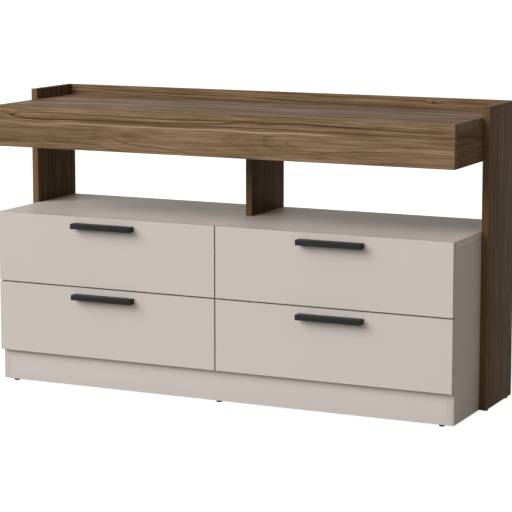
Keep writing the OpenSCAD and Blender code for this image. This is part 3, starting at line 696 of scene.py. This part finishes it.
class CHEST_OT_drawer_fronts(bpy.types.Operator):
    """Four overlay drawer fronts with a strip on every edge, with painted shade on the strips in
    the gaps
    """
    bl_idname = "chest.drawer_fronts"
    bl_label = "Drawer fronts"

    def execute(self, context):
        scene = context.scene
        faces = bpy.data.materials["Cream_melamine_board"]
        strips = bpy.data.materials["Cream_ABS_edge_strip"]
        # The real chest's gaps look darker than the light here makes them, so the strips on the
        # edges in them get a painted shade
        dark = cream_edge(
            scene.chest_colours, "Cream_ABS_edge_strip_painted_gap_shade", scene.chest_colours.cream_gap_painted_shade)
        for drawer in DRAWERS:
            level, side = drawer.split("_")
            inner, outer = ((0, 1), (0, 0)) if side == "left" else ((0, 0), (0, 1))
            free, gaps = [outer], [inner, (2, 0)]
            (gaps if level == "lower" else free).append((2, 1))
            board(f"{drawer}_front", (faces, strips, dark), scene.chest_sizes, free, gaps)
        return {"FINISHED"}


class CHEST_OT_drawer_boxes(bpy.types.Operator):
    """Sides and backs of the drawer boxes, with a strip along their rims"""
    bl_idname = "chest.drawer_boxes"
    bl_label = "Drawer boxes"

    def execute(self, context):
        scene = context.scene
        faces = bpy.data.materials["Cream_melamine_board"]
        strips = bpy.data.materials["Cream_ABS_edge_strip"]
        for drawer in DRAWERS:
            for part in ("left_side", "right_side", "back"):
                board(f"{drawer}_{part}", (faces, strips), scene.chest_sizes, [(2, 1)])
        return {"FINISHED"}


class CHEST_OT_walnut_boards(bpy.types.Operator):
    """Shelf, uprights and middle support in walnut-print board"""
    bl_idname = "chest.walnut_boards"
    bl_label = "Walnut boards"

    def execute(self, context):
        scene = context.scene
        look = scene.chest_colours
        strips = walnut_edge(look, "Walnut_print_edge_strip", tone_and_painted_light=(1.08, 1.06, 1.05))
        # The front edges of the right upright and the middle support get a painted shade, for the
        # shelf's shadow on them
        painted_shade_strips = walnut_edge(look, "Walnut_print_edge_strip_painted_shade", tone_and_painted_light=(0.80, 0.77, 0.70))
        # The shelf's ends face sideways, away from the key light, and get a painted shade
        end_painted_shade = (0.75, 0.76, 0.77)
        post = {"waver": 0.25, "sharp": 0.8, "bands": 0.5, "band_width": 16}
        # The turn of each board's grain, the middle of its trunk, the trunk's tilt, what else its
        # grain needs with its tint, and the edges that have a strip. The tints of the uprights
        # and the middle support paint shade on their sides, and the shelf top's greyer tint
        # paints part of its sheen, the rest of which comes from its real gloss
        boards = (
            ("shelf_fascia", "upright_x", (0.0, 0.696, 0.1435), 0.0,
             {"waver": 0.2, "sharp": 0.4, "ring_depth": 0.28, "fascia": True,
              "tone_and_painted_light": (1.01, 1.04, 1.06), "knot": (-0.606, 0.732, 0.0)},
             [(2, 0), (0, 0), (0, 1)]),
            ("shelf_top", "flat_x", (0.3, 0.10, 0.57), 0.02,
             {"waver": 0.6, "bands": 0.6, "band_width": 45, "gloss": 3.0,
              "tone_and_painted_light": (0.83, 0.88, 1.02)}, []),
            ("shelf_rear_board", "upright_x", (0.2, 0.62, -0.33), 0.02,
             {"waver": 0.3, "sharp": 0.7, "tone_and_painted_light": (0.95, 0.95, 0.94),
              "knot": (0.450, 0.773, 0.0)}, [(2, 1)]),
            ("shelf_end_left", "side_y", (0.1, 0.60, 0.85), 0.03, {"tone_and_painted_light": end_painted_shade}, []),
            ("shelf_end_right", "side_y", (0.2, 0.45, 0.55), 0.02,
             {"waver": 0.4, "ring_depth": 0.3, "tone_and_painted_light": end_painted_shade}, []),
            ("upright_left", "side_z", (0.1, -0.9, 0.6), 0.0,
             {**post, "tone_and_painted_light": (0.60, 0.61, 0.61)}, [(1, 0), (2, 1)]),
            ("upright_right", "side_z", (0.3, -0.9, -0.8), 0.0,
             {**post, "tone_and_painted_light": (0.64, 0.66, 0.66), "knot": (0.759, 0.067, 0.0)},
             [(1, 0), (2, 1)]),
            ("middle_support", "side_z", (0.2, -0.7, 0.1), 0.0,
             {**post, "tone_and_painted_light": (0.47, 0.45, 0.41)}, [(1, 0)]),
        )
        for node, grain, heart, tilt, more, edges in boards:
            faces = walnut(look, "Walnut_melamine_" + node, grain, heart, tilt, **more)
            strip = painted_shade_strips if node in ("upright_right", "middle_support") else strips
            board(node, (faces, strip), scene.chest_sizes, edges)
        return {"FINISHED"}


class CHEST_OT_hardboard_panels(bpy.types.Operator):
    """Back panel and drawer bottoms in thin hardboard"""
    bl_idname = "chest.hardboard_panels"
    bl_label = "Hardboard panels"

    def execute(self, context):
        dress("back_panel", hardboard("Hardboard_lacquered_in_front", (0, -1, 0)))
        bottom = hardboard("Hardboard_lacquered_on_top", (0, 0, 1))
        for drawer in DRAWERS:
            dress(f"{drawer}_bottom", bottom)
        return {"FINISHED"}


class CHEST_OT_handles(bpy.types.Operator):
    """Four bar handles with a finger recess behind the grip"""
    bl_idname = "chest.handles"
    bl_label = "Handles"

    def execute(self, context):
        coat = black_coat(context.scene.chest_colours)
        for drawer in DRAWERS:
            piece = merged_copy(f"{drawer}_handle")
            ease_edges(piece, HANDLE_ROUND)
            stands_for(piece, f"{drawer}_handle", [coat])
        return {"FINISHED"}


class CHEST_OT_runners(bpy.types.Operator):
    """Ball-bearing runners: rolled steel members, and cages with polished balls"""
    bl_idname = "chest.runners"
    bl_label = "Runners"

    def execute(self, context):
        # Zinc-plated strip: fine lines along the rolling, with patches of duller plating
        steel = metal("Zinc_plated_rolled_steel", "#9da1a5", "#b6b9bc", patch_size=30,
                      rough=0.22, spread=0.22, depth=0.015 * MM, strip=True)
        # Ground bearing steel, nearly a mirror
        bright = metal("Polished_bearing_steel", "#b9bcc0", "#cfd2d6", patch_size=0.8,
                       rough=0.06, spread=0.08)
        dress("fixed_runner_members", steel)
        for drawer in DRAWERS:
            dress(f"{drawer}_runner_members", steel)
            piece = merged_copy(f"{drawer}_ball_cages")
            for face in piece.data.polygons:
                face.material_index = int(max(abs(part) for part in face.normal) < FLAT)
            stands_for(piece, f"{drawer}_ball_cages", [steel, bright])
        return {"FINISHED"}


def model_screw(name, length, head, shank, pan=0.0, pitch=1.4 * MM):
    """A cross-head screw along Z, the face of its head at 0 and its point down. Without the
    height of a pan head its head is countersunk."""
    core = shank * SCREW_CORE / 2
    deep = pan or (head - shank) / 2
    bpy.ops.object.select_all(action="DESELECT")
    if pan:
        bpy.ops.mesh.primitive_cylinder_add(
            vertices=SCREW_SIDES, radius=head / 2, depth=deep, location=(0, 0, -deep / 2))
    else:
        bpy.ops.mesh.primitive_cone_add(
            vertices=SCREW_SIDES, radius1=shank / 2, radius2=head / 2, depth=deep,
            location=(0, 0, -deep / 2))
    screw = bpy.context.object
    screw.name = name
    bpy.ops.object.transform_apply()
    if pan:
        pick(screw, "EDGE", lambda edge: all(v.co.z > -NEAR for v in edge.verts))
        bpy.ops.mesh.bevel(offset=deep * PAN_ROUND, segments=3, affect="EDGES")
        done()
    # The shank is drawn out of the head's underside, and its end closes to a point
    pick(screw, "FACE", looks_down)
    bpy.ops.mesh.inset(thickness=(head if pan else shank) / 2 - core)
    point = core if pan else shank
    bpy.ops.mesh.extrude_region_move(
        TRANSFORM_OT_translate={"value": (0, 0, deep + point - length)})
    bpy.ops.mesh.extrude_region_move(TRANSFORM_OT_translate={"value": (0, 0, -point)})
    tip = BLUNT_END if pan else SHARP_END
    bpy.ops.transform.resize(value=(tip, tip, 1), center_override=(0, 0, 0))
    done()
    # Cross recess, narrower at its bottom
    cutters = []
    for width, breadth in ((ARM_LENGTH, ARM_BREADTH), (ARM_BREADTH, ARM_LENGTH)):
        bpy.ops.mesh.primitive_cube_add(size=1, location=(0, 0, 0), scale=(
            width * head, breadth * head, RECESS * head))
        cutter = bpy.context.object
        bpy.ops.object.transform_apply()
        pick(cutter, "FACE", looks_down)
        bpy.ops.transform.resize(
            value=(RECESS_TAPER, RECESS_TAPER, 1), center_override=(0, 0, 0))
        done()
        cutters.append(cutter)
    for cutter in cutters:
        only(screw)
        cut = screw.modifiers.new("Recess", "BOOLEAN")
        cut.operation = "DIFFERENCE"
        cut.object = cutter
        bpy.ops.object.modifier_apply(modifier=cut.name)
        bpy.data.objects.remove(cutter)
    # Thread: a three-sided ridge wound round the core
    ridge = shank / 2 - core
    turns = int((length - deep - point) / pitch)
    bpy.ops.object.select_all(action="DESELECT")
    bpy.ops.mesh.primitive_circle_add(
        vertices=3, radius=ridge, fill_type="NOTHING", rotation=(radians(90), radians(90), 0),
        location=(core, 0, point - length + turns * pitch))
    bpy.ops.object.transform_apply()
    thread = bpy.context.object
    wind = thread.modifiers.new("Wind", "SCREW")
    wind.axis = "Z"
    wind.angle = radians(360)
    wind.screw_offset = -pitch
    wind.iterations = turns
    wind.steps = wind.render_steps = THREAD_STEPS
    bpy.ops.object.modifier_apply(modifier=wind.name)
    edit(thread, "VERT")
    bpy.ops.mesh.select_all(action="SELECT")
    bpy.ops.mesh.fill_holes(sides=3)
    bpy.ops.mesh.normals_make_consistent(inside=False)
    done()
    only(screw)
    thread.select_set(True)
    bpy.ops.object.join()
    return screw


def place_screws(node, models, metal_look):
    """Puts a copy of the screw of the right length on each of a CAD node's screws."""
    places = merged_copy(node)
    screws = []
    for _, points, low, high in solids_of(places):
        size = high - low
        axis = list(size).index(max(size))
        middle = (low + high) / 2
        start_reach, end_reach = (
            max((p - middle).length for p in points if abs(p[axis] - end[axis]) < END_DEPTH)
            for end in (low, high))
        # The head is at the end that reaches further from the middle
        side = int(end_reach > start_reach)
        outward = Vector((0, 0, 0))
        outward[axis] = (-1, 1)[side]
        spot = middle.copy()
        spot[axis] = (low, high)[side][axis]
        model = min(models, key=lambda m: abs(m.dimensions.z - size[axis]))
        screw = bpy.data.objects.new("Screw", model.data.copy())
        bpy.context.scene.collection.objects.link(screw)
        screw.location = spot
        screw.rotation_euler = Vector((0, 0, 1)).rotation_difference(outward).to_euler()
        screws.append(screw)
    bpy.data.objects.remove(places)
    only(screws[0])
    for screw in screws:
        screw.select_set(True)
    bpy.ops.object.transform_apply()
    bpy.ops.object.join()
    piece = bpy.context.object
    piece.name = node.title()
    stands_for(piece, node, [metal_look], angle=40)


class CHEST_OT_screws(bpy.types.Operator):
    """Cross-head screws: short ones in the runners, long ones in the boards, pan heads in the
    handles"""
    bl_idname = "chest.screws"
    bl_label = "Screws"

    def execute(self, context):
        # Bright plating is nearly white with a faint satin
        zinc = metal(
            "Bright_zinc_plate", "#b3b7ba", "#d3d6d8", patch_size=4, rough=0.18, spread=0.2)
        models = [
            model_screw("Runner_screw", length=9.5 * MM, head=6.6 * MM, shank=3.5 * MM),
            model_screw("Frame_screw", length=30 * MM, head=8 * MM, shank=4 * MM, pitch=1.8 * MM),
            model_screw("Handle_screw", length=26.6 * MM, head=8 * MM, shank=4 * MM,
                        pan=2.6 * MM, pitch=1.1 * MM),
        ]
        for node in ("cabinet_screws", *(f"{drawer}_screws" for drawer in DRAWERS)):
            place_screws(node, models, zinc)
        for model in models:
            bpy.data.objects.remove(model)
        return {"FINISHED"}


class CHEST_OT_cam_fittings(bpy.types.Operator):
    """Die-cast cams with their plated steel bolts"""
    bl_idname = "chest.cam_fittings"
    bl_label = "Cam fittings"

    def execute(self, context):
        # Cast zinc is grainy and dull
        cast = metal("Die_cast_zinc", "#84878a", "#a9acae", patch_size=1.1, rough=0.4,
                     spread=0.2, depth=0.05 * MM)
        zinc = bpy.data.materials["Bright_zinc_plate"]
        for node in ("cam_fittings", *(f"{drawer}_cam_fittings" for drawer in DRAWERS)):
            piece = merged_copy(node)
            for faces, _, low, high in solids_of(piece):
                if max(high - low) > CAM_BOLT:
                    for i in faces:
                        piece.data.polygons[i].material_index = 1
            stands_for(piece, node, [cast, zinc])
        return {"FINISHED"}


class CHEST_OT_floor_glides(bpy.types.Operator):
    """Black glides under the boards, each on a steel nail"""
    bl_idname = "chest.floor_glides"
    bl_label = "Floor glides"

    def execute(self, context):
        piece = merged_copy("floor_glides")
        for face in piece.data.polygons:
            face.material_index = int(face.center.z > GLIDE_TOP)
        zinc = bpy.data.materials["Bright_zinc_plate"]
        stands_for(piece, "floor_glides", [black_plastic(), zinc])
        return {"FINISHED"}


# Stage

# Both lights are aimed at this height over the floor's middle. Each has its azimuth, 0 in front
# and 90 on the right, its elevation, its distance, and its width and height
LIGHT_AIM = Vector((0, 0, 0.4))
KEY_LIGHT, FRONT_LIGHT = (-36, 32, 28, (26, 19)), (8, 20, 9, (5, 5))
# Camera: its place, how far it looks down and is turned, in degrees, and its lens in mm
CAMERA_PLACE, CAMERA_DOWN, CAMERA_TURN = (2.325, -4.8725, 1.237), 7.78, 25.25
CAMERA_LENS, CAMERA_SENSOR, CAMERA_SHIFT = 144.16, 36, -0.1
FLOOR_SIZE = 60


def seen_ray(tree):
    """1 for what the camera sees straight, mirrored or through something, 0 for the light."""
    rays = add(tree, "LightPath").node.outputs
    seen = add(tree, "Math", SUM, i0=rays["Is Camera Ray"], i1=rays["Is Glossy Ray"])
    seen = add(tree, "Math", SUM, i0=seen, i1=rays["Is Transmission Ray"])
    return seen


def area_light(name, azimuth, elevation, distance, size, power):
    """A rectangular light of this width and height that is aimed at the chest."""
    turn, rise = radians(azimuth), radians(elevation)
    back = Vector((sin(turn) * cos(rise), -cos(turn) * cos(rise), sin(rise)))
    bpy.ops.object.light_add(type="AREA", location=LIGHT_AIM + back * distance)
    lamp = bpy.context.object
    lamp.name = name
    lamp.data.shape = "RECTANGLE"
    lamp.data.size, lamp.data.size_y = size
    lamp.data.energy = power
    lamp.rotation_euler = (-back).to_track_quat("-Z", "Y").to_euler()


class CHEST_OT_studio(bpy.types.Operator):
    """Pale floor, soft light and the camera"""
    bl_idname = "chest.studio"
    bl_label = "Studio"

    def execute(self, context):
        scene = context.scene
        studio = scene.chest_studio
        bpy.ops.object.select_all(action="DESELECT")
        bpy.ops.mesh.primitive_plane_add(size=FLOOR_SIZE, location=(0, 0, 0))
        floor = context.object
        floor.name = "Studio_floor"
        material = bpy.data.materials.new("Pale_studio_floor")
        material.use_nodes = True
        tree = material.node_tree
        tree.nodes.clear()
        glow = add(tree, "Math", TIMES, i0=seen_ray(tree), i1=studio.floor_glow)
        matt = add(tree, "BsdfDiffuse", Color=rgba(studio.floor), Roughness=0.0)
        glow = add(tree, "Emission", Color=(1, 1, 1, 1), Strength=glow)
        both = add(tree, "AddShader", i0=matt, i1=glow)
        add(tree, "OutputMaterial", i0=both)
        floor.data.materials.append(material)

        world = bpy.data.worlds.new("Studio_surround")
        scene.world = world
        world.use_nodes = True
        tree = world.node_tree
        tree.nodes.clear()
        dim = add(tree, "Background", i0=rgba(studio.ambient_colour), i1=studio.ambient)
        white = add(tree, "Background", i0=(1, 1, 1, 1), i1=1.0)
        mixed = add(tree, "MixShader", i0=seen_ray(tree), i1=dim, i2=white)
        add(tree, "OutputWorld", i0=mixed)

        area_light("Key_light", *KEY_LIGHT, studio.key)
        area_light("Front_light", *FRONT_LIGHT, studio.front)

        bpy.ops.object.camera_add(
            location=CAMERA_PLACE,
            rotation=(radians(90 - CAMERA_DOWN), 0, radians(CAMERA_TURN)))
        camera = context.object
        camera.name = "Studio_camera"
        camera.data.sensor_width = CAMERA_SENSOR
        camera.data.lens = CAMERA_LENS
        camera.data.shift_y = CAMERA_SHIFT
        scene.camera = camera
        scene.view_settings.view_transform = "Standard"
        return {"FINISHED"}


class CHEST_PT_panel(bpy.types.Panel):
    """The chest's settings and its pieces, in the order they are made"""
    bl_label = "Chest of drawers"
    bl_idname = "CHEST_PT_panel"
    bl_space_type = "VIEW_3D"
    bl_region_type = "UI"
    bl_category = "Chest"

    def draw(self, context):
        column = self.layout.column(align=True)
        for group in ("chest_colours", "chest_sizes", "chest_studio"):
            settings = getattr(context.scene, group)
            for key in settings.__annotations__:
                column.prop(settings, key)
            column.separator()
        for operator in OPERATORS:
            column.operator(operator.bl_idname)


GROUPS = (ChestColours, ChestSizes, ChestStudio)
OPERATORS = (
    CHEST_OT_cream_boards, CHEST_OT_drawer_fronts, CHEST_OT_drawer_boxes,
    CHEST_OT_walnut_boards, CHEST_OT_hardboard_panels, CHEST_OT_handles, CHEST_OT_runners,
    CHEST_OT_screws, CHEST_OT_cam_fittings, CHEST_OT_floor_glides, CHEST_OT_studio,
)


def register():
    for item in GROUPS + OPERATORS + (CHEST_PT_panel,):
        bpy.utils.register_class(item)
    bpy.types.Scene.chest_colours = bpy.props.PointerProperty(type=ChestColours)
    bpy.types.Scene.chest_sizes = bpy.props.PointerProperty(type=ChestSizes)
    bpy.types.Scene.chest_studio = bpy.props.PointerProperty(type=ChestStudio)


def unregister():
    del bpy.types.Scene.chest_studio
    del bpy.types.Scene.chest_sizes
    del bpy.types.Scene.chest_colours
    for item in reversed(GROUPS + OPERATORS + (CHEST_PT_panel,)):
        bpy.utils.unregister_class(item)


def main():
    """Dresses the chest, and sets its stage."""
    register()
    for operator in OPERATORS:
        group, name = operator.bl_idname.split(".")
        getattr(getattr(bpy.ops, group), name)()


if __name__ == "__main__":
    main()
